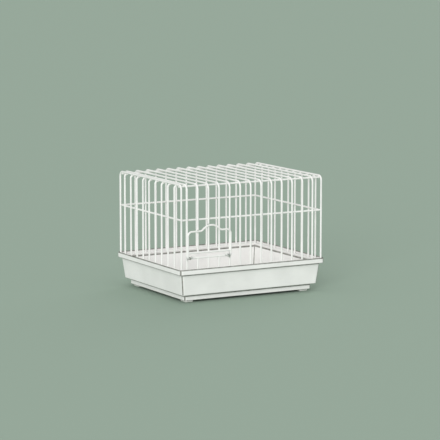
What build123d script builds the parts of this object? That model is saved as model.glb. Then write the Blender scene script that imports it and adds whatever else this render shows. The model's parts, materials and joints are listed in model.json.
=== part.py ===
from build123d import *
import os
from math import acos, atan2, cos, hypot, sin, sqrt, tan

# Guinea pig cage: a cage of welded wire that stands in the rim of a moulded tray, with a drop-down door.
# All sizes are in millimetres. X runs to the right along the front, Y to the back and Z up.
# The origin is on the floor, under the middle of the tray.

# Wire
WIRE = 5.5                # diameter of every coated wire
WELD_GAP = 0.05           # coating between two wires where they cross
END_ROUNDING = 1.0        # rounding of a wire's cut ends under the coating

# Cage, measured between the wires' centres
CAGE_WIDTH = 480.0        # left wall to right wall
CAGE_DEPTH = 400.0        # front wall to back wall
CAGE_HEIGHT = 260.0       # foot of the bars to the roof wires
BELT_HEIGHT = 157.0       # foot of the bars to the belt ring
CAGE_CORNER = 11.0        # plan radius that the posts at the corners stand on
TOP_BEND = 17.0           # bend of the roof wires from wall to roof
SIDE_BEND = 8.0           # bend at the top of the side bars
SIDE_TAIL = 3.0           # straight end of a side bar, past its bend
CROSS_END = 1.5           # reach of a cross wire past the end wires
FRONT_PITCH = 35.4        # between the wires of the front, roof and back
SIDE_PITCH = 40.0         # between the bars of the side walls
FIRST_WIRE_GAP = 20.0     # left wall to the first roof wire

# Tray
TRAY_WALL = 2.2
PLINTH_HEIGHT = 17.0      # recessed foot of the tray
BODY_HEIGHT = 64.0        # leaning walls
BAND_HEIGHT = 15.5        # upright band round the rim
RIM_CLEARANCE = 0.5       # bars to the inside of the band
SEAT_WIDTH = 9.0          # level seat inside the band, which carries the wire top
SEAT_GAP = 0.2            # foot of the bars to the seat
BODY_LEAN = 7.5           # how far the walls lean in towards the bottom
PLINTH_STEP = 13.0        # how far the plinth stands back from the walls
RIM_CORNER = 11.0         # plan radii of the tray's corners
BODY_CORNER = 9.0
PLINTH_CORNER = 8.0
RIM_EDGE = 0.9            # rounding of the moulded edges
BODY_EDGE = 3.0
PLINTH_EDGE = 2.0
FLOOR_EDGE = 4.0

# Feet
FOOT_WIDTH = 28.0
FOOT_DEPTH = 34.0
FOOT_HEIGHT = 6.0
FOOT_CORNER = 6.0
FOOT_INSET = 7.0          # plinth's edge to the foot
FOOT_CHAMFER = 1.0

# Door
DOOR_GAPS = 4             # front gaps that the door covers
HINGE_RISE = 32.5         # rim to the hinge axis
DOOR_HEIGHT = 78.0        # hinge axis to the shoulders of the door frame
DOOR_CORNER = 13.0        # bends at the shoulders
DOOR_CLEARANCE = 0.6      # door frame to the bars behind it
HUMP_RISE = 16.0          # shoulders to the top of the finger hump
HUMP_OFFSET = 6.0         # the hump's middle, to the right of the door's
HUMP_TOP_BEND = 38.0
HUMP_FOOT_BEND = 12.0
HUMP_FLANK = 3.0          # straight run between the two bends
HOOK_BEND = 4.5           # bends of the hooks at the feet of the door frame
PIVOT_LENGTH = 4.0        # straight part of a hook, which turns in its clip
HOOK_TAIL = 4.0           # straight end of a hook
SILL_RISE = 16.0          # hinge axis to the cross wire of the door
BAR_END = 1.5             # reach of a door bar past the wire it is welded to
BAR_END_GAP = 2.0         # top of a door bar to the cut bar above it

# Hinge clips
CLIP_SHEET = 1.0
CLIP_WIDTH = 3.4
PIVOT_CLEARANCE = 0.1     # radial play of the pivot in its clip

# Levels, from the floor
plinth_z = FOOT_HEIGHT
body_z = plinth_z + PLINTH_HEIGHT
band_z = body_z + BODY_HEIGHT
rim_z = band_z + BAND_HEIGHT
floor_z = plinth_z + TRAY_WALL
shelf_z = body_z + TRAY_WALL
seat_z = band_z + TRAY_WALL
bar_foot_z = seat_z + SEAT_GAP
belt_z = bar_foot_z + BELT_HEIGHT
roof_z = bar_foot_z + CAGE_HEIGHT
hinge_z = rim_z + HINGE_RISE
shoulder_z = hinge_z + DOOR_HEIGHT
sill_z = hinge_z + SILL_RISE

# Places in plan
half_width = CAGE_WIDTH / 2
half_depth = CAGE_DEPTH / 2
weld_pitch = WIRE + WELD_GAP
ring_half_width = half_width - weld_pitch
ring_half_depth = half_depth - weld_pitch
post_inset = CAGE_CORNER * (1 - 1 / sqrt(2))
end_half_width = half_width - post_inset
end_half_depth = half_depth - post_inset
cross_y = half_depth - TOP_BEND
first_x = FIRST_WIRE_GAP - half_width
front_count = int((-2 * first_x) / FRONT_PITCH) + 1
front_x = [first_x + FRONT_PITCH * n for n in range(front_count)]
side_steps = int((cross_y - weld_pitch) / SIDE_PITCH)
side_y = [SIDE_PITCH * n for n in range(-side_steps, side_steps + 1)]

# The bend of a side bar lies against the end wire from below
nest_reach = SIDE_BEND + weld_pitch
nest_drop = sqrt(nest_reach**2 - (SIDE_BEND - post_inset) ** 2)
side_top_z = roof_z - nest_drop + SIDE_BEND

# The door, about its own middle
door_half = DOOR_GAPS * FRONT_PITCH / 2
door_x = front_x[0] + door_half
door_y = -half_depth - WIRE - DOOR_CLEARANCE
door_bar_y = door_y + weld_pitch
hook_span = 2 * HOOK_BEND + PIVOT_LENGTH
bend_sum = HUMP_TOP_BEND + HUMP_FOOT_BEND
hump_slope = acos((bend_sum - HUMP_RISE) / hypot(bend_sum, HUMP_FLANK)) - atan2(HUMP_FLANK, bend_sum)
hump_top_half = HUMP_TOP_BEND * sin(hump_slope)
hump_flank_half = hump_top_half + HUMP_FLANK * cos(hump_slope)
hump_half = hump_flank_half + HUMP_FOOT_BEND * sin(hump_slope)


def save(piece, name):
    """Labels a finished piece and writes it to its own file."""
    piece.label = name
    export_step(piece, f"parts/{name}.step")


def upright_plane(x, y, inward):
    """A plane that stands at x, y. Its own x runs inward over the cage and its own y runs up."""
    return Plane(origin=(x, y, 0), x_dir=(inward[0], inward[1], 0), z_dir=(inward[1], -inward[0], 0))


def bent_wire(name, plane, points, bends, closed=False):
    """A round wire along straight runs with a bend at each corner."""
    with BuildPart() as wire:
        with BuildLine(plane) as route:
            FilletPolyline(*points, radius=bends, close=closed)
        with BuildSketch(Plane(origin=route.line @ 0, z_dir=route.line % 0)):
            Circle(WIRE / 2)
        sweep()
        if not closed:
            fillet(wire.faces().filter_by(GeomType.PLANE).edges(), radius=END_ROUNDING)
    save(wire.part, name)


def straight_wire(name, plane, middle, length):
    """A round wire that starts on a plane, at a point of that plane, and stands square to it."""
    with BuildPart() as wire:
        with BuildSketch(plane):
            with Locations(middle):
                Circle(WIRE / 2)
        extrude(amount=length)
        fillet(wire.faces().filter_by(GeomType.PLANE).edges(), radius=END_ROUNDING)
    save(wire.part, name)


def ring(name, level, half_x, half_y, bend):
    """A closed wire at one level, with a bend at each corner."""
    corners = [(-half_x, -half_y), (half_x, -half_y), (half_x, half_y), (-half_x, half_y)]
    bent_wire(name, Plane.XY.offset(level), corners, bend, closed=True)


def frame_height(offset):
    """Height of the door frame's top wire at an offset from the door's middle."""
    offset = abs(offset - HUMP_OFFSET)
    if offset >= hump_half:
        return shoulder_z
    if offset >= hump_flank_half:
        return shoulder_z + HUMP_FOOT_BEND - sqrt(HUMP_FOOT_BEND**2 - (hump_half - offset) ** 2)
    over = min(offset, hump_top_half)
    drop = HUMP_TOP_BEND - sqrt(HUMP_TOP_BEND**2 - over**2) + (offset - over) * tan(hump_slope)
    return shoulder_z + HUMP_RISE - drop


os.makedirs("parts", exist_ok=True)

# Tray
rim_inner = (CAGE_WIDTH + WIRE + 2 * RIM_CLEARANCE, CAGE_DEPTH + WIRE + 2 * RIM_CLEARANCE)
rim_outer = [size + 2 * TRAY_WALL for size in rim_inner]
body_top_inner = [size - 2 * SEAT_WIDTH for size in rim_inner]
body_top = [size + 2 * TRAY_WALL for size in body_top_inner]
body_foot = [size - 2 * BODY_LEAN for size in body_top]
body_foot_inner = [size - 2 * TRAY_WALL for size in body_foot]
plinth = [size - 2 * PLINTH_STEP for size in body_foot]
plinth_inner = [size - 2 * TRAY_WALL for size in plinth]

with BuildPart() as tray_hollow:
    with BuildSketch(Plane.XY.offset(shelf_z)):
        RectangleRounded(*body_foot_inner, BODY_CORNER - TRAY_WALL)
    with BuildSketch(Plane.XY.offset(seat_z)):
        RectangleRounded(*body_top_inner, BODY_CORNER - TRAY_WALL)
    loft(ruled=True)
    with BuildSketch(Plane.XY.offset(seat_z)):
        RectangleRounded(*rim_inner, RIM_CORNER - TRAY_WALL)
    extrude(amount=BAND_HEIGHT)
    with BuildSketch(Plane.XY.offset(floor_z)):
        RectangleRounded(*plinth_inner, PLINTH_CORNER - TRAY_WALL)
    extrude(amount=PLINTH_HEIGHT)
    fillet(tray_hollow.edges().group_by(Axis.Z)[0], radius=FLOOR_EDGE)

with BuildPart() as base_tray:
    with BuildSketch(Plane.XY.offset(body_z)):
        RectangleRounded(*body_foot, BODY_CORNER)
    with BuildSketch(Plane.XY.offset(band_z)):
        RectangleRounded(*body_top, BODY_CORNER)
    loft(ruled=True)
    fillet(base_tray.edges().group_by(Axis.Z)[0], radius=BODY_EDGE)
    with BuildSketch(Plane.XY.offset(plinth_z)):
        RectangleRounded(*plinth, PLINTH_CORNER)
    extrude(amount=PLINTH_HEIGHT)
    fillet(base_tray.edges().group_by(Axis.Z)[0], radius=PLINTH_EDGE)
    with BuildSketch(Plane.XY.offset(band_z)):
        RectangleRounded(*rim_outer, RIM_CORNER)
    extrude(amount=BAND_HEIGHT)
    add(tray_hollow.part, mode=Mode.SUBTRACT)
    fillet(base_tray.edges().group_by(Axis.Z)[-1], radius=RIM_EDGE)
save(base_tray.part, "base_tray")

# Feet, one under each corner of the plinth
foot_x = plinth[0] / 2 - FOOT_INSET - FOOT_WIDTH / 2
foot_y = plinth[1] / 2 - FOOT_INSET - FOOT_DEPTH / 2
corners = {
    "front_left": (-1, -1),
    "front_right": (1, -1),
    "back_left": (-1, 1),
    "back_right": (1, 1),
}
for corner, (side, end) in corners.items():
    with BuildPart() as foot:
        with BuildSketch():
            with Locations((side * foot_x, end * foot_y)):
                RectangleRounded(FOOT_WIDTH, FOOT_DEPTH, FOOT_CORNER)
        extrude(amount=FOOT_HEIGHT)
        chamfer(foot.edges().group_by(Axis.Z)[0], length=FOOT_CHAMFER)
    save(foot.part, f"foot_{corner}")

# Roof wires, each one up the front, over the roof and down the back.
# Those over the door are cut off in front, just above the door's frame.
for number, x in enumerate(front_x):
    front_foot_z = bar_foot_z
    if 0 < number < DOOR_GAPS:
        front_foot_z = frame_height(x - door_x) + BAR_END + BAR_END_GAP
    bent_wire(
        f"roof_wire_{number + 1:02d}",
        upright_plane(x, -half_depth, (0, 1)),
        [(0, front_foot_z), (0, roof_z), (CAGE_DEPTH, roof_z), (CAGE_DEPTH, bar_foot_z)],
        TOP_BEND,
    )

# End wires, which make the corner posts and the edges of the roof. They bend tighter than the roof wires,
# so that they come level over the same cross wires. The side bars bend in under them.
for wall, side in (("left", -1), ("right", 1)):
    bent_wire(
        f"end_wire_{wall}",
        upright_plane(side * end_half_width, -end_half_depth, (0, 1)),
        [(0, bar_foot_z), (0, roof_z), (2 * end_half_depth, roof_z), (2 * end_half_depth, bar_foot_z)],
        TOP_BEND - post_inset,
    )
    for number, y in enumerate(side_y):
        bent_wire(
            f"{wall}_bar_{number + 1}",
            upright_plane(side * half_width, y, (-side, 0)),
            [(0, bar_foot_z), (0, side_top_z), (SIDE_BEND + SIDE_TAIL, side_top_z)],
            SIDE_BEND,
        )

# Two rings run round inside the bars, and two cross wires under the ends of the roof's bends
ring_corner = CAGE_CORNER - weld_pitch
ring("bottom_ring", bar_foot_z + WIRE / 2, ring_half_width, ring_half_depth, ring_corner)
ring("belt_ring", belt_z, ring_half_width, ring_half_depth, ring_corner)
roof_half = end_half_width + CROSS_END
for wall, end in (("front", -1), ("back", 1)):
    cross_middle = (end * cross_y, roof_z - weld_pitch)
    straight_wire(f"cross_wire_{wall}", Plane.YZ.offset(-roof_half), cross_middle, 2 * roof_half)

# Door opening: the stubs of the cut bars, and the hinge wire on top of them
stub_height = hinge_z - weld_pitch + WIRE / 2 - bar_foot_z
for number in range(1, DOOR_GAPS):
    straight_wire(f"door_stub_{number}", Plane.XY.offset(bar_foot_z), (front_x[number], -half_depth), stub_height)
cross_half = door_half - WIRE / 2 - WELD_GAP
cross_plane = Plane.YZ.offset(door_x - cross_half)
straight_wire("hinge_wire", cross_plane, (-half_depth, hinge_z), 2 * cross_half)

# Hinge clips, closed round the hinge wire and the straight part of the door's hooks
clip_bore = WIRE + 2 * PIVOT_CLEARANCE
clip_x = door_half - hook_span / 2
for wall, side in (("left", -1), ("right", 1)):
    with BuildPart() as clip:
        with BuildSketch(Plane.YZ.offset(door_x + side * clip_x - CLIP_WIDTH / 2)):
            with Locations(((door_y - half_depth) / 2, hinge_z)):
                SlotCenterToCenter(-half_depth - door_y, clip_bore + 2 * CLIP_SHEET)
                SlotCenterToCenter(-half_depth - door_y, clip_bore, mode=Mode.SUBTRACT)
        extrude(amount=CLIP_WIDTH)
    save(clip.part, f"hinge_clip_{wall}")

# Door frame: hook, leg, shoulder, finger hump and the same again in reverse
hump_corner_x = hump_half - HUMP_FOOT_BEND * tan(hump_slope / 2)
hump_corner_z = shoulder_z + HUMP_RISE + HUMP_TOP_BEND * (1 / cos(hump_slope) - 1)
left_leg = [
    (hook_span - door_half, hinge_z + HOOK_BEND + HOOK_TAIL),
    (hook_span - door_half, hinge_z),
    (-door_half, hinge_z),
    (-door_half, shoulder_z),
]
hump = [
    (HUMP_OFFSET - hump_corner_x, shoulder_z),
    (HUMP_OFFSET, hump_corner_z),
    (HUMP_OFFSET + hump_corner_x, shoulder_z),
]
right_leg = [(-x, z) for x, z in reversed(left_leg)]
leg_bends = [HOOK_BEND, HOOK_BEND, DOOR_CORNER]
hump_bends = [HUMP_FOOT_BEND, HUMP_TOP_BEND, HUMP_FOOT_BEND]
bent_wire(
    "door_frame",
    Plane.XZ.offset(-door_y).shift_origin((door_x, door_y, 0)),
    left_leg + hump + right_leg,
    leg_bends + hump_bends + leg_bends[::-1],
)

# Door bars, behind the frame, and the cross wire that carries their feet
straight_wire("door_sill", cross_plane, (door_y, sill_z), 2 * cross_half)
for number in range(1, DOOR_GAPS):
    bar_top_z = frame_height(front_x[number] - door_x) + BAR_END
    straight_wire(
        f"door_bar_{number}",
        Plane.XY.offset(sill_z - BAR_END),
        (front_x[number], door_bar_y),
        bar_top_z - sill_z + BAR_END,
    )

print(f"hinge axis at x {door_x:.2f}, y {door_y:.2f}, z {hinge_z:.2f}")
print(f"rim {rim_outer[0]:.1f} by {rim_outer[1]:.1f}, roof wire {roof_z:.1f}, belt {belt_z:.1f}, seat {seat_z:.1f}")
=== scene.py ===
# %% [markdown]
# # A guinea pig cage, dressed in Blender
# The cage arrives as a finished construction: a moulded tray on four pads, a wire top that lifts out of
# it and a wire door that drops open. Every solid is at its real size, in metres, with the floor at zero
# and the front of the cage towards -Y. This lesson adds what a construction leaves out: the camera, the
# light, the finish of each surface, and the small fillets that the coating leaves wherever two wires
# are welded.

# %% Load the cage
import json
import math

import bmesh
import bpy
from mathutils import Matrix, Vector


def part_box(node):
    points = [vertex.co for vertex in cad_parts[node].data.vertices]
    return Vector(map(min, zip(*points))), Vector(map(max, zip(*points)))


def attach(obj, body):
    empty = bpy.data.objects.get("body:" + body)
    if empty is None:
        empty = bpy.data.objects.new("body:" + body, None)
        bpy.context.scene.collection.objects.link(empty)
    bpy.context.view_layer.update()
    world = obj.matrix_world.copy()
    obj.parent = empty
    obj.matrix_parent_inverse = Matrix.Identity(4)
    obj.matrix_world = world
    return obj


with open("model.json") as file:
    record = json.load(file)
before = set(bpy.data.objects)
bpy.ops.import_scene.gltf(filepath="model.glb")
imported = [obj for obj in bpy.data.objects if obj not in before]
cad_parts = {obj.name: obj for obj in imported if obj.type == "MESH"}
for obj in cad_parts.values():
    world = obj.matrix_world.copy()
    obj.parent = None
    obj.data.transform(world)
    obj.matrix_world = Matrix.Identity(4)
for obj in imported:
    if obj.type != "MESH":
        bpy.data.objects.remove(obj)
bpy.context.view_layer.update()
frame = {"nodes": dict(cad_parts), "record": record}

MM = 0.001                # Blender works in metres, and the sizes below are in millimetres

# %% [markdown]
# ## The camera
# The photograph was taken from a long way off, so its upright lines stay upright and its far edges are
# hardly smaller than its near ones. A camera could be put in place by eye. Here it comes from the
# picture: its turn, its height and its distance were found from the corners of the tray and of the
# wire, and what is left to place is the pixel on which the cage's origin falls. A long lens is all that
# gives the flat look.

# %% Set up the camera
PHOTO_SIDE = 440          # pixels along each side of the photograph
ORIGIN_PIXEL = (219.9, 287.8)
FOCAL_PIXELS = 2169.7     # focal length, counted in those pixels
VIEW_TURN = math.radians(29.06)
VIEW_DROP = math.radians(8.12)
VIEW_DISTANCE = 6586 * MM
SENSOR = 36.0             # Blender's usual sensor, in millimetres
FARTHEST = 100.0          # metres that the camera sees, past the far edge of the floor

ahead = Vector((
    math.sin(VIEW_TURN) * math.cos(VIEW_DROP),
    math.cos(VIEW_TURN) * math.cos(VIEW_DROP),
    -math.sin(VIEW_DROP),
))
right = Vector((math.cos(VIEW_TURN), -math.sin(VIEW_TURN), 0))
above = right.cross(ahead)
metres_per_pixel = VIEW_DISTANCE / FOCAL_PIXELS
stand = (
    -ahead * VIEW_DISTANCE
    - right * (ORIGIN_PIXEL[0] - PHOTO_SIDE / 2) * metres_per_pixel
    + above * (ORIGIN_PIXEL[1] - PHOTO_SIDE / 2) * metres_per_pixel
)
turn = Matrix((right, above, -ahead)).transposed()

bpy.ops.object.camera_add(location=stand, rotation=turn.to_euler())
camera = bpy.context.object
camera.name = "long_lens_camera"
camera.data.lens = FOCAL_PIXELS / PHOTO_SIDE * SENSOR
camera.data.sensor_width = SENSOR
camera.data.clip_end = FARTHEST
bpy.context.scene.camera = camera
print("camera:", round(camera.data.lens, 1), "mm lens at", [round(value, 3) for value in stand])

# %% [markdown]
# ## Two tools for finishes
# Colours are written as sRGB hex values, as a paint chart gives them, but a shader counts light, which
# is linear. One function does that sum. A second one adds a node to a material, fills in its settings
# and joins its wires, so that each finish below reads as a list of what it is made of. A Mix node has a
# set of sockets for each kind of value, so those for colours are picked by their numbers.

# %% Colour and node tools
FACTOR, FIRST, SECOND = 0, 6, 7   # inputs of a Mix node of colours
MIXED = 2                         # and its output


def linear(hex_colour):
    """An sRGB hex colour as the linear red, green, blue and alpha that a shader works in."""
    shares = [int(hex_colour[at:at + 2], 16) / 255 for at in (1, 3, 5)]
    return [c / 12.92 if c <= 0.04045 else ((c + 0.055) / 1.055) ** 2.4 for c in shares] + [1.0]


def add_node(tree, kind, settings=None, links=None):
    """Adds a node. A setting goes to the input of that name or number, or else to the node itself."""
    node = tree.nodes.new(kind)
    for name, value in (settings or {}).items():
        if isinstance(name, int) or name in node.inputs:
            node.inputs[name].default_value = value
        else:
            setattr(node, name, value)
    for name, source in (links or {}).items():
        tree.links.new(source, node.inputs[name])
    return node


def new_finish(name, settings):
    """A material with its shader's constant values set, and the Object coordinates for its patterns."""
    material = bpy.data.materials.new(name)
    material.use_nodes = True
    tree = material.node_tree
    shader = tree.nodes["Principled BSDF"]
    for socket, value in settings.items():
        shader.inputs[socket].default_value = value
    place = add_node(tree, "ShaderNodeTexCoord").outputs["Object"]
    return material, tree, shader, place


print("white paint is", [round(value, 3) for value in linear("#F5F4F2")[:3]], "in linear light")

# %% [markdown]
# ## Floor and light
# The cage is white, so the ground has to be a little darker for the bars to read against it: a pale
# sage, plain and matt. The light could be a ring of lamps, but a wide soft sun lights the whole floor
# evenly. It stands low and in front, so that it reaches the tray's outer walls, which lean away from
# the sky. A weaker one behind the cage keeps its far sides from going dull, and a plain grey world fills
# in the shadows. Together they come to about one, so a colour renders much as it is written and white
# never clips. A floor needs a backdrop where a low camera sees past it. Here the world itself is that
# backdrop: to the camera, and in reflections, it has the colour that the lit floor shows.

# %% Lay the floor and light it
FLOOR_SIDE = 70.0         # metres, so that its edge is hidden in the distance
WORLD_LIGHT = 0.67        # light from all round
SUN_SPREAD = math.radians(34)
SUNS = {                  # where each sun stands, and its light on a surface that faces it
    "soft_sun_in_front": (Vector((-0.65, -0.71, 0.27)), 0.55),
    "weak_sun_behind": (Vector((0.70, 0.55, 0.45)), 0.12),
}

bpy.ops.object.select_all(action="DESELECT")
bpy.ops.mesh.primitive_plane_add(size=FLOOR_SIDE)
floor = bpy.context.object
floor.name = "floor"
sage = {"Base Color": linear("#9FB2A3"), "Roughness": 0.95, "Specular IOR Level": 0.1}
floor.data.materials.append(new_finish("pale_sage_paper", sage)[0])

light_above = WORLD_LIGHT
for name, (sunward, light) in SUNS.items():
    bpy.ops.object.light_add(type="SUN", rotation=(-sunward).to_track_quat("-Z", "Y").to_euler())
    sun = bpy.context.object
    sun.name = name
    sun.data.energy = light * math.pi
    sun.data.angle = SUN_SPREAD
    light_above += light * sunward.normalized().z

bpy.context.scene.view_settings.view_transform = "Standard"
print("light on a surface that faces up:", round(light_above, 2))

# %% Fill in with the world
world = bpy.data.worlds.new("plain_grey_world")
world.use_nodes = True
bpy.context.scene.world = world
tree = world.node_tree
rays = add_node(tree, "ShaderNodeLightPath")
seen = rays.outputs["Is Camera Ray"]
for kind in ("Is Glossy Ray", "Is Transmission Ray"):
    either = add_node(
        tree, "ShaderNodeMath", {"operation": "MAXIMUM"}, {0: seen, 1: rays.outputs[kind]}
    )
    seen = either.outputs["Value"]
sky = add_node(
    tree,
    "ShaderNodeMix",
    {
        "data_type": "RGBA",
        FIRST: (WORLD_LIGHT, WORLD_LIGHT, WORLD_LIGHT, 1.0),
        SECOND: linear("#97A99B"),
    },
    {FACTOR: seen},
)
tree.links.new(sky.outputs[MIXED], tree.nodes["Background"].inputs["Color"])
print(world.name, "has", len(tree.nodes), "nodes")

# %% [markdown]
# ## White powder coat on steel wire
# The bars are bent and welded first and coated afterwards, so one skin of baked powder runs over wires
# and welds alike. It melts and flows before it sets, which leaves the faint dimples called orange peel,
# and it gathers a little thicker in some places than in others. To the eye that is a clean satin white
# whose highlights wobble slightly. The dimples of real powder are about a millimetre wide, and here
# they are drawn nearly twice as wide to show at all.

# %% Mix the powder coat
PEEL = 1.8 * MM           # width of an orange peel dimple
PEEL_DEPTH = 0.03 * MM
COAT_CLOUD = 55 * MM      # width of the patches where the coat is a little thicker
COAT_WHITES = ((0.35, "#F1F0EE"), (0.62, "#F9F8F6"))   # a value of the noise, and the white it gives
HANDLING = 14 * MM        # width of the dull marks that hands and teeth leave
MARKED = (0.54, 0.7)      # values of the noise at which a mark begins, and at which it is dullest
COAT_ROUGHNESS = (0.3, 0.5)   # of the clean coat and of the marks

powder_coat, tree, shader, place = new_finish(
    "white_powder_coat_on_steel", {"IOR": 1.5, "Metallic": 0.0}
)
cloud = add_node(
    tree, "ShaderNodeTexNoise", {"Scale": 1 / COAT_CLOUD, "Detail": 3.0}, {"Vector": place}
)
tint = add_node(tree, "ShaderNodeValToRGB", links={"Fac": cloud.outputs["Fac"]})
for stop, (position, white) in zip(tint.color_ramp.elements, COAT_WHITES):
    stop.position = position
    stop.color = linear(white)
marks = add_node(tree, "ShaderNodeTexNoise", {"Scale": 1 / HANDLING, "Detail": 5.0}, {"Vector": place})
dull = add_node(
    tree,
    "ShaderNodeMapRange",
    {
        "From Min": MARKED[0],
        "From Max": MARKED[1],
        "To Min": COAT_ROUGHNESS[0],
        "To Max": COAT_ROUGHNESS[1],
    },
    {"Value": marks.outputs["Fac"]},
)
peel = add_node(tree, "ShaderNodeTexNoise", {"Scale": 1 / PEEL, "Detail": 1.0}, {"Vector": place})
dimples = add_node(
    tree, "ShaderNodeBump", {"Strength": 0.5, "Distance": PEEL_DEPTH}, {"Height": peel.outputs["Fac"]}
)
tree.links.new(dull.outputs["Result"], shader.inputs["Roughness"])
tree.links.new(dimples.outputs["Normal"], shader.inputs["Normal"])
print("orange peel", PEEL / MM, "mm wide, on patches of", COAT_CLOUD / MM, "mm")

# %% [markdown]
# ## Where the coat is rubbed
# The feet of the door are hooks that turn in two clips. Each time the door drops, the hook rubs on its
# clip and on the wire behind it, and the white goes grey there. A mask could be painted by hand, but the
# distance from the middle of a clip finds the same place on the hook and on both wires, and the noise of
# the dull marks breaks its edge. To the eye it makes the hooks stand out from the white tray.

# %% Rub the coat at the hinge
RUB_CORE = 5 * MM         # distance from a clip's middle at which the coat is rubbed most
RUB_REACH = 12 * MM       # and at which it is whole again
RUB_STRENGTH = 1.3        # above one, because the noise that breaks the edge averages a half

distances = []
for clip in ("hinge_clip_left", "hinge_clip_right"):
    clip_low, clip_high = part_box(clip)
    clip_middle = (clip_low + clip_high) / 2
    away = add_node(
        tree, "ShaderNodeVectorMath", {"operation": "DISTANCE", 1: clip_middle}, {0: place}
    )
    distances.append(away.outputs["Value"])
nearest = add_node(
    tree, "ShaderNodeMath", {"operation": "MINIMUM"}, {0: distances[0], 1: distances[1]}
)
close_by = add_node(
    tree,
    "ShaderNodeMapRange",
    {"From Min": RUB_REACH, "From Max": RUB_CORE, "To Max": RUB_STRENGTH},
    {"Value": nearest.outputs["Value"]},
)
rubbed = add_node(
    tree,
    "ShaderNodeMath",
    {"operation": "MULTIPLY", "use_clamp": True},
    {0: close_by.outputs["Result"], 1: marks.outputs["Fac"]},
)
colour = add_node(
    tree,
    "ShaderNodeMix",
    {"data_type": "RGBA", SECOND: linear("#8F918F")},
    {FACTOR: rubbed.outputs["Value"], FIRST: tint.outputs["Color"]},
)
tree.links.new(colour.outputs[MIXED], shader.inputs["Base Color"])
print(powder_coat.name, "has", len(tree.nodes), "nodes")

# %% [markdown]
# ## White moulded polypropylene
# The tray is one shot of white plastic. The steel of its mould was spark-eroded, so the skin has a fine
# even grain that breaks up reflections, and the plastic cools unevenly, which leaves slow waves of
# gloss along the walls. Cleaning leaves thin scuffs that run along the walls. They come from noise that
# is squeezed flat along Z, so that it draws out into level streaks.

# %% Mix the tray's plastic
GLOSS_WAVE = 70 * MM      # width of a wave of gloss
TRAY_WHITES = ((0.36, "#F3F2F0"), (0.64, "#FAF9F7"))   # a value of the noise, and the white it gives
SCUFF_LENGTH = 38 * MM
SCUFF_WIDTH = 1.1 * MM
SCUFFED = (0.63, 0.78)    # values of the noise at which a scuff begins, and at which it is deepest
SCUFF_GREY = 0.16         # share of grey in the deepest scuff

tray_plastic, tree, shader, place = new_finish(
    "white_moulded_polypropylene", {"IOR": 1.49, "Metallic": 0.0}
)
wave = add_node(
    tree, "ShaderNodeTexNoise", {"Scale": 1 / GLOSS_WAVE, "Detail": 2.0}, {"Vector": place}
)
flow = add_node(tree, "ShaderNodeValToRGB", links={"Fac": wave.outputs["Fac"]})
for stop, (position, white) in zip(flow.color_ramp.elements, TRAY_WHITES):
    stop.position = position
    stop.color = linear(white)
squeeze = add_node(
    tree,
    "ShaderNodeMapping",
    {"Scale": (1 / SCUFF_LENGTH, 1 / SCUFF_LENGTH, 1 / SCUFF_WIDTH)},
    {"Vector": place},
)
scratch = add_node(
    tree, "ShaderNodeTexNoise", {"Scale": 1.0, "Detail": 3.0}, {"Vector": squeeze.outputs["Vector"]}
)
scuff = add_node(
    tree,
    "ShaderNodeMapRange",
    {"From Min": SCUFFED[0], "From Max": SCUFFED[1], "To Max": SCUFF_GREY},
    {"Value": scratch.outputs["Fac"]},
)
print("scuffs are", round(SCUFF_LENGTH / SCUFF_WIDTH), "times as long as they are wide")

# %% [markdown]
# ## Grey lines on the tray: painted shade, and wear
# The grey along the tray's steps is mostly painted shade. It darkens the angle under the band, the step
# above the plinth and the foot, where shade falls. Along the top of the rim, which the wire rubs, it is
# wear. Those four places differ only in height, so one ramp up the tray marks them. The two steps
# overhang and hide the upper part of their lines, so those reach further down, into the shade below
# them. The upright corners go grey too: painted shade in the inside corners, and a worn line on the
# outside ones. They could be found by their place, but the walls lean, so the direction of the surface
# is a better guide: only on a corner does it face as much along X as along Y.

# %% Mark the edges and steps of the tray
BAND_HEIGHT = 15.5 * MM   # the upright band round the rim
PLINTH_HEIGHT = 17 * MM   # the recessed foot of the tray
LINE_ABOVE = 1.6 * MM     # less than a wall's thickness, so that the floor and the seat stay white
LINE_FADE = 2 * MM        # from full grey to none, at the lower side of a line
tray_low, tray_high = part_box("base_tray")
edge_lines = (            # the height of each line, and how far below it the grey is at its strongest
    (tray_low.z, 0.0),
    (tray_low.z + PLINTH_HEIGHT, 4.2 * MM),
    (tray_high.z - BAND_HEIGHT, 3 * MM),
    (tray_high.z, 2 * MM),
)

height = add_node(tree, "ShaderNodeSeparateXYZ", links={"Vector": place}).outputs["Z"]
climb = add_node(
    tree, "ShaderNodeMapRange", {"From Min": tray_low.z, "From Max": tray_high.z}, {"Value": height}
)
levels = add_node(tree, "ShaderNodeValToRGB", links={"Fac": climb.outputs["Result"]})
stops = levels.color_ramp.elements
stops.remove(stops[1])
# Painted shade: the ramp greys the tray under the band, above the plinth and along its foot; at the top
# of the rim the grey stands for wear
for level, reach in edge_lines:
    for offset, grey in ((-reach - LINE_FADE, 0.0), (-reach, 1.0), (0.0, 1.0), (LINE_ABOVE, 0.0)):
        position = (level + offset - tray_low.z) / (tray_high.z - tray_low.z)
        if 0 < position <= 1:
            stops.new(position).color = (grey, grey, grey, 1.0)
stops[0].color = (1.0, 1.0, 1.0, 1.0)
print("grey lines at", [round(level / MM, 1) for level, reach in edge_lines], "mm")

# %% Mark the corners of the tray
FADE = math.radians(19)   # how far from a corner's middle the grey has faded out
FULL = math.radians(9)    # and how far it is at its full strength
BLOTCH = 12 * MM          # a blotchy noise keeps the lines from being even
BLOTCHED = (0.3, 0.65)    # values of that noise at which a line is faintest and strongest
LINE_STRENGTH = (0.75, 1.0)   # share of the grey that is left at those two values

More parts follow.
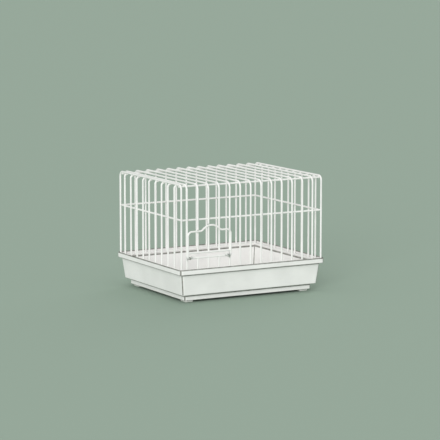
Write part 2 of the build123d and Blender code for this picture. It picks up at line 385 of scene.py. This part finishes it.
facing = add_node(tree, "ShaderNodeSeparateXYZ", links={"Vector": place.node.outputs["Normal"]})
both_ways = add_node(
    tree, "ShaderNodeMath", {"operation": "MULTIPLY"}, {0: facing.outputs["X"], 1: facing.outputs["Y"]}
)
either_sign = add_node(
    tree, "ShaderNodeMath", {"operation": "ABSOLUTE"}, {0: both_ways.outputs["Value"]}
)
# Painted shade in the inside corners, and a worn grey line on the outside ones
corner = add_node(
    tree,
    "ShaderNodeMapRange",
    {"From Min": math.cos(2 * FADE) / 2, "From Max": math.cos(2 * FULL) / 2},
    {"Value": either_sign.outputs["Value"]},
)
edges = add_node(
    tree,
    "ShaderNodeMath",
    {"operation": "MAXIMUM"},
    {0: levels.outputs["Color"], 1: corner.outputs["Result"]},
)
blotches = add_node(
    tree, "ShaderNodeTexNoise", {"Scale": 1 / BLOTCH, "Detail": 4.0}, {"Vector": place}
)
patchy = add_node(
    tree,
    "ShaderNodeMapRange",
    {
        "From Min": BLOTCHED[0],
        "From Max": BLOTCHED[1],
        "To Min": LINE_STRENGTH[0],
        "To Max": LINE_STRENGTH[1],
    },
    {"Value": blotches.outputs["Fac"]},
)
# The grey lines, partly painted shade and partly wear, broken up by the blotches
shade_and_wear_lines = add_node(
    tree,
    "ShaderNodeMath",
    {"operation": "MULTIPLY"},
    {0: edges.outputs["Value"], 1: patchy.outputs["Result"]},
)
print("grey corners fade out", round(math.degrees(FADE)), "degrees from their middle")

# %% Join the tray's finish together
GRAIN = 1.1 * MM          # real grain is about a third of this, too fine for the picture
GRAIN_DEPTH = 0.025 * MM
NOISE_LOW, NOISE_HIGH = 0.3, 0.7  # nearly all values of a noise lie between these
TRAY_ROUGHNESS = (0.36, 0.46)     # across the waves of gloss
# The roughness that a full scuff or grey line adds; on the lines the grey is painted shade or wear
SCUFF_AND_LINE_ROUGHNESS = 0.25             # what full wear adds to it

scuffs_and_shade_lines = add_node(
    tree,
    "ShaderNodeMath",
    {"operation": "MAXIMUM"},
    {0: scuff.outputs["Result"], 1: shade_and_wear_lines.outputs["Value"]},
)
# One grey for the scuffs and for the lines; on the lines it is painted shade, and wear at the rim's top
# and the outer corners
colour = add_node(
    tree,
    "ShaderNodeMix",
    {"data_type": "RGBA", SECOND: linear("#74746D")},
    {FACTOR: scuffs_and_shade_lines.outputs["Value"], FIRST: flow.outputs["Color"]},
)
gloss = add_node(
    tree,
    "ShaderNodeMapRange",
    {
        "From Min": NOISE_LOW,
        "From Max": NOISE_HIGH,
        "To Min": TRAY_ROUGHNESS[0],
        "To Max": TRAY_ROUGHNESS[1],
    },
    {"Value": wave.outputs["Fac"]},
)
rough = add_node(
    tree,
    "ShaderNodeMath",
    {"operation": "MULTIPLY_ADD", 1: SCUFF_AND_LINE_ROUGHNESS},
    {0: scuffs_and_shade_lines.outputs["Value"], 2: gloss.outputs["Result"]},
)
grain = add_node(tree, "ShaderNodeTexNoise", {"Scale": 1 / GRAIN, "Detail": 1.0}, {"Vector": place})
skin = add_node(
    tree, "ShaderNodeBump", {"Strength": 0.4, "Distance": GRAIN_DEPTH}, {"Height": grain.outputs["Fac"]}
)
tree.links.new(colour.outputs[MIXED], shader.inputs["Base Color"])
tree.links.new(rough.outputs["Value"], shader.inputs["Roughness"])
tree.links.new(skin.outputs["Normal"], shader.inputs["Normal"])
print(tray_plastic.name, "has", len(tree.nodes), "nodes")

# %% [markdown]
# ## Zinc-plated steel for the hinge clips
# The two clips are strips of thin sheet, closed round the hinge wire and the door's pivots with pliers.
# They are plated, not painted, because a coat would crack there. Plating is a real metal, so its colour
# sits in the reflection: a cool grey with faint blue and straw patches, drawn out along the rolling
# lines of the sheet.

# %% Mix the zinc plating
ROLLING_LINE = 0.5 * MM   # about twice the real width
LINE_DEPTH = 0.02 * MM
PLATE_CLOUD = 5 * MM      # width of the patches of blue and straw
PLATE_GREYS = ((NOISE_LOW, "#B9C1C8"), (NOISE_HIGH, "#CFCBBE"))   # towards blue, and towards straw
PLATE_ROUGHNESS = (0.26, 0.42)

zinc, tree, shader, place = new_finish("zinc_plated_steel_sheet", {"Metallic": 1.0})
cloud = add_node(
    tree, "ShaderNodeTexNoise", {"Scale": 1 / PLATE_CLOUD, "Detail": 2.0}, {"Vector": place}
)
tint = add_node(tree, "ShaderNodeValToRGB", links={"Fac": cloud.outputs["Fac"]})
for stop, (position, grey) in zip(tint.color_ramp.elements, PLATE_GREYS):
    stop.position = position
    stop.color = linear(grey)
stretch = add_node(
    tree,
    "ShaderNodeMapping",
    {"Scale": (1 / ROLLING_LINE, 1 / PLATE_CLOUD, 1 / PLATE_CLOUD)},
    {"Vector": place},
)
rolled = add_node(
    tree, "ShaderNodeTexNoise", {"Scale": 1.0, "Detail": 2.0}, {"Vector": stretch.outputs["Vector"]}
)
sheen = add_node(
    tree,
    "ShaderNodeMapRange",
    {
        "From Min": NOISE_LOW,
        "From Max": NOISE_HIGH,
        "To Min": PLATE_ROUGHNESS[0],
        "To Max": PLATE_ROUGHNESS[1],
    },
    {"Value": rolled.outputs["Fac"]},
)
brushed = add_node(
    tree, "ShaderNodeBump", {"Strength": 0.3, "Distance": LINE_DEPTH}, {"Height": rolled.outputs["Fac"]}
)
tree.links.new(tint.outputs["Color"], shader.inputs["Base Color"])
tree.links.new(sheen.outputs["Result"], shader.inputs["Roughness"])
tree.links.new(brushed.outputs["Normal"], shader.inputs["Normal"])
print(zinc.name, "has lines", ROLLING_LINE / MM, "mm apart")

# %% [markdown]
# ## Pale grey rubber for the pads
# The pads under the tray are moulded rubber: matt, slightly mottled, and dusty where they meet the
# floor. A high roughness does most of it. The dust is a duller colour that fades in over the lowest
# millimetres.

# %% Mix the rubber
RUBBER_MOTTLE = 4 * MM    # width of a patch
RUBBER_GREYS = ((NOISE_LOW, "#D9DAD6"), (NOISE_HIGH, "#E4E5E1"))
RUBBER_ROUGHNESS = (0.72, 0.86)
RUBBER_GRAIN = 0.9 * MM   # coarser than the real grain, to show at all
RUBBER_DEPTH = 0.05 * MM
DUST_HEIGHT = 3 * MM

rubber, tree, shader, place = new_finish("pale_grey_moulded_rubber", {"IOR": 1.52, "Metallic": 0.0})
mottle = add_node(
    tree, "ShaderNodeTexNoise", {"Scale": 1 / RUBBER_MOTTLE, "Detail": 3.0}, {"Vector": place}
)
tint = add_node(tree, "ShaderNodeValToRGB", links={"Fac": mottle.outputs["Fac"]})
for stop, (position, grey) in zip(tint.color_ramp.elements, RUBBER_GREYS):
    stop.position = position
    stop.color = linear(grey)
height = add_node(tree, "ShaderNodeSeparateXYZ", links={"Vector": place}).outputs["Z"]
near_floor = add_node(
    tree, "ShaderNodeMapRange", {"From Min": DUST_HEIGHT, "From Max": 0.0}, {"Value": height}
)
dust = add_node(
    tree,
    "ShaderNodeMath",
    {"operation": "MULTIPLY"},
    {0: near_floor.outputs["Result"], 1: mottle.outputs["Fac"]},
)
colour = add_node(
    tree,
    "ShaderNodeMix",
    {"data_type": "RGBA", SECOND: linear("#C9C8C1")},
    {FACTOR: dust.outputs["Value"], FIRST: tint.outputs["Color"]},
)
matt = add_node(
    tree,
    "ShaderNodeMapRange",
    {
        "From Min": NOISE_LOW,
        "From Max": NOISE_HIGH,
        "To Min": RUBBER_ROUGHNESS[0],
        "To Max": RUBBER_ROUGHNESS[1],
    },
    {"Value": mottle.outputs["Fac"]},
)
grain = add_node(
    tree, "ShaderNodeTexNoise", {"Scale": 1 / RUBBER_GRAIN, "Detail": 1.0}, {"Vector": place}
)
skin = add_node(
    tree, "ShaderNodeBump", {"Strength": 0.5, "Distance": RUBBER_DEPTH}, {"Height": grain.outputs["Fac"]}
)
tree.links.new(colour.outputs[MIXED], shader.inputs["Base Color"])
tree.links.new(matt.outputs["Result"], shader.inputs["Roughness"])
tree.links.new(skin.outputs["Normal"], shader.inputs["Normal"])
print(rubber.name, "is dusty up to", DUST_HEIGHT / MM, "mm")

# %% [markdown]
# ## Dressing the solids
# The record of the cage says which finish each solid is made in, so the right material is a matter of
# looking it up. The solids themselves stay exactly as they are.

# %% Give every solid its finish
finishes = {
    "wire_coat": powder_coat,
    "tray_plastic": tray_plastic,
    "clip_steel": zinc,
    "foot_rubber": rubber,
}
for row in frame["record"]["subparts"]:
    solid = frame["nodes"][row["node"]]
    solid.material_slots[0].material = finishes[row["material_slot"]]

# %% [markdown]
# ## One weld
# Where two wires cross they are pressed together and spot-welded, and the powder then fills the sharp
# gap around the spot. What shows is a small waisted fillet. It could be a fat dot, but two crossing
# cylinders part company in the same way in every direction, so a short spool fits the gap all round:
# its ends sink into the two wires and its waist shows between them. A cylinder is added, its upright
# edges are divided, and the rings between are drawn in.

# %% Model the crossing weld
WELD_SIDES = 14
WELD_RADIUS = 2.3 * MM
WELD_HEIGHT = 2.5 * MM
WELD_RINGS = 3            # rings between its ends, a quarter of its height apart
WAIST = 0.76              # share of the radius that is left at the middle ring
NECK = 0.83               # and at the other two
RING_SNAP = WELD_HEIGHT / 10  # how near to a ring's height its points are

bpy.ops.object.select_all(action="DESELECT")
bpy.ops.mesh.primitive_cylinder_add(vertices=WELD_SIDES, radius=WELD_RADIUS, depth=WELD_HEIGHT)
crossing_weld = bpy.context.object
crossing_weld.name = "crossing_weld"
bpy.ops.object.mode_set(mode="EDIT")
bpy.ops.mesh.select_mode(type="EDGE")
bpy.ops.mesh.select_all(action="DESELECT")
shape = bmesh.from_edit_mesh(crossing_weld.data)
for edge in shape.edges:
    edge.select_set(abs(edge.verts[0].co.z - edge.verts[1].co.z) > WELD_HEIGHT / 2)
bpy.ops.mesh.subdivide(number_cuts=WELD_RINGS)
bpy.ops.mesh.select_mode(type="VERT")
for ring_height, share in ((0, WAIST), (WELD_HEIGHT / (WELD_RINGS + 1), NECK)):
    bpy.ops.mesh.select_all(action="DESELECT")
    shape = bmesh.from_edit_mesh(crossing_weld.data)
    for point in shape.verts:
        point.select_set(abs(abs(point.co.z) - ring_height) < RING_SNAP)
    bpy.ops.transform.resize(value=(share, share, 1), center_override=(0, 0, 0))
bpy.ops.object.mode_set(mode="OBJECT")
bpy.ops.object.shade_smooth()
print("a crossing weld has", len(crossing_weld.data.polygons), "faces")

# %% [markdown]
# ## The other weld
# Three kinds of wire end against the side of another wire: the hinge wire between its two bars, the
# short bars under it, and the sill of the door. There the bead runs round the end like a collar. It
# could be a torus, but a torus leaves the gap beside the round wire open. So a sphere is squashed to a
# lens, and its two flanks are pulled towards the wire that it sits on, which makes a saddle.

# %% Model the end weld
BEAD_SIDES = 14
BEAD_RINGS = 8
BEAD_RADIUS = 3.0 * MM
BEAD_HEIGHT = 1.3 * MM
SADDLE = 0.6 * MM         # how far the flanks of the bead reach round the other wire
FLANKS = (0.4, 0.75)      # shares of the radius past which they are pulled, half of the way each time

bpy.ops.object.select_all(action="DESELECT")
bpy.ops.mesh.primitive_uv_sphere_add(segments=BEAD_SIDES, ring_count=BEAD_RINGS, radius=BEAD_RADIUS)
end_weld = bpy.context.object
end_weld.name = "end_weld"
bpy.ops.object.mode_set(mode="EDIT")
bpy.ops.mesh.select_all(action="SELECT")
bpy.ops.transform.resize(value=(1, 1, BEAD_HEIGHT / BEAD_RADIUS), center_override=(0, 0, 0))
for share in FLANKS:
    bpy.ops.mesh.select_all(action="DESELECT")
    shape = bmesh.from_edit_mesh(end_weld.data)
    for point in shape.verts:
        point.select_set(abs(point.co.y) > BEAD_RADIUS * share)
    bpy.ops.transform.translate(value=(0, 0, SADDLE / len(FLANKS)))
bpy.ops.object.mode_set(mode="OBJECT")
bpy.ops.object.shade_smooth()
print("an end weld has", len(end_weld.data.polygons), "faces")

# %% [markdown]
# ## Where the welds go
# A ring runs inside the walls, so each bar touches it with its inner side. The place of a weld is then
# the middle of the bar, moved inwards by the wire's radius, at the height of the ring. The boxes of the
# solids give all of that: a bar that stands in a wall has its box's outer face one radius outside its
# middle line. Under the door the short bars stand in for the roof wires that end above it.

# %% Find the crossings on the walls
hinge_low, hinge_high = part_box("hinge_wire")
WIRE_RADIUS = (hinge_high.z - hinge_low.z) / 2
INTO = {                  # from each wall into the cage
    "left": Vector((1, 0, 0)),
    "right": Vector((-1, 0, 0)),
    "front": Vector((0, 1, 0)),
    "back": Vector((0, -1, 0)),
}


def named(start):
    """The names of the solids that start with a word."""
    return [name for name in frame["nodes"] if name.startswith(start)]


def middle(node):
    """The middle of a solid's box."""
    low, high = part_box(node)
    return (low + high) / 2


def wall_spot(node, toward):
    """Where an upright wire stands: the outer side of its box, moved in by the wire's radius."""
    low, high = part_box(node)
    spot = (low + high) / 2
    for axis in (0, 1):
        if toward[axis] > 0:
            spot[axis] = low[axis] + WIRE_RADIUS
        elif toward[axis] < 0:
            spot[axis] = high[axis] - WIRE_RADIUS
    return spot


roof_wires = named("roof_wire_")
stubs = named("door_stub_")
stub_places = [middle(name).x for name in stubs]
whole_wires = [
    name for name in roof_wires if min(abs(middle(name).x - x) for x in stub_places) > WIRE_RADIUS
]
around = [(name, INTO["back"]) for name in roof_wires]
for wall in ("left", "right"):
    around += [(name, INTO[wall]) for name in named(wall + "_bar_")]
    for end in ("front", "back"):
        around.append(("end_wire_" + wall, (INTO[wall] + INTO[end]).normalized()))

welds = {}
for ring, front in (("bottom_ring", whole_wires + stubs), ("belt_ring", roof_wires)):
    welds[ring] = []
    for name, toward in [(name, INTO["front"]) for name in front] + around:
        spot = wall_spot(name, toward) + toward * WIRE_RADIUS
        spot.z = middle(ring).z
        welds[ring].append((crossing_weld, spot, toward))
print({ring: len(spots) for ring, spots in welds.items()}, "welds on the walls")

# %% [markdown]
# ## The welds of the roof
# Two cross wires run under the roof, and each wire that passes over them is welded to them. The bars of
# the side walls have no cross wire. They bend in under the wire that makes the edge of the roof, and
# touch it with the outside of the bend, so the weld sits on the line from the bend's centre to the
# middle of that wire.

# %% Find the crossings of the roof
UPWARDS = Vector((0, 0, 1))
SIDE_BEND = 8 * MM        # bend at the top of the side bars, along the middle of the wire

welds["roof"] = []
for cross_wire in named("cross_wire_"):
    for name in roof_wires + named("end_wire_"):
        spot = middle(cross_wire)
        spot.x = middle(name).x
        spot.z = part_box(cross_wire)[1].z
        welds["roof"].append((crossing_weld, spot, UPWARDS))
for wall in ("left", "right"):
    roof_edge = middle("end_wire_" + wall)
    roof_edge.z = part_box("end_wire_" + wall)[1].z - WIRE_RADIUS
    for name in named(wall + "_bar_"):
        bend = wall_spot(name, INTO[wall]) + INTO[wall] * SIDE_BEND
        bend.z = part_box(name)[1].z - WIRE_RADIUS - SIDE_BEND
        roof_edge.y = bend.y
        toward = (roof_edge - bend).normalized()
        welds["roof"].append((crossing_weld, roof_edge - toward * WIRE_RADIUS, toward))
print(len(welds["roof"]), "welds under the roof")

# %% [markdown]
# ## The welds of the door
# The bars of the door lie behind its frame and its sill, and run a little past the frame. The sill and
# the hinge wire end against upright wires, and the short bars under the door end against the hinge wire.

# %% Find the welds at the door
BAR_TAIL = 1.5 * MM       # how far a bar of the door runs past the frame that it is welded to

welds["hinge_wire"] = []
welds["door"] = []
for name in stubs:
    spot = middle(name)
    spot.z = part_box(name)[1].z
    welds["hinge_wire"].append((end_weld, spot, UPWARDS))
for group, wire in (("hinge_wire", "hinge_wire"), ("door", "door_sill")):
    low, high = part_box(wire)
    for end, toward in ((low.x, INTO["right"]), (high.x, INTO["left"])):
        spot = middle(wire)
        spot.x = end
        welds[group].append((end_weld, spot, toward))
for name in named("door_bar_"):
    for weld_height in (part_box(name)[1].z - BAR_TAIL, middle("door_sill").z):
        spot = middle(name) - INTO["front"] * WIRE_RADIUS
        spot.z = weld_height
        welds["door"].append((crossing_weld, spot, INTO["front"]))
print(len(welds["hinge_wire"]), "welds at the hinge and", len(welds["door"]), "on the door")

# %% [markdown]
# ## Setting the welds
# Each weld is a copy with a mesh of its own, turned so that its axis runs from one wire to the other.
# They could stay well over a hundred objects, but a ring's welds never part from it, so they are joined
# into one piece for each ring. A joined piece takes the place of its last copy, and applying its
# transforms puts it back at the origin. The welds of the door ride on the door.

# %% Set the welds in place
def set_welds(name, body, spots):
    """Copies of the welds, each at its spot and along its direction, joined into one piece on a body."""
    bpy.ops.object.select_all(action="DESELECT")
    for pattern, spot, toward in spots:
        copy = pattern.copy()
        copy.data = pattern.data.copy()
        copy.location = spot
        copy.rotation_euler = toward.to_track_quat("Z", "X").to_euler()
        bpy.context.collection.objects.link(copy)
        copy.select_set(True)
    bpy.context.view_layer.objects.active = copy
    bpy.ops.object.join()
    bpy.ops.object.transform_apply(location=True, rotation=True, scale=True)
    piece = bpy.context.object
    piece.name = name
    piece.data.name = name
    piece.data.materials.append(powder_coat)
    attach(piece, body)
    print(name, "has", len(spots), "welds and", len(piece.data.polygons), "faces")


for group, spots in welds.items():
    set_welds(group + "_welds", "door" if group == "door" else "wire_top", spots)
bpy.data.objects.remove(crossing_weld)
bpy.data.objects.remove(end_weld)
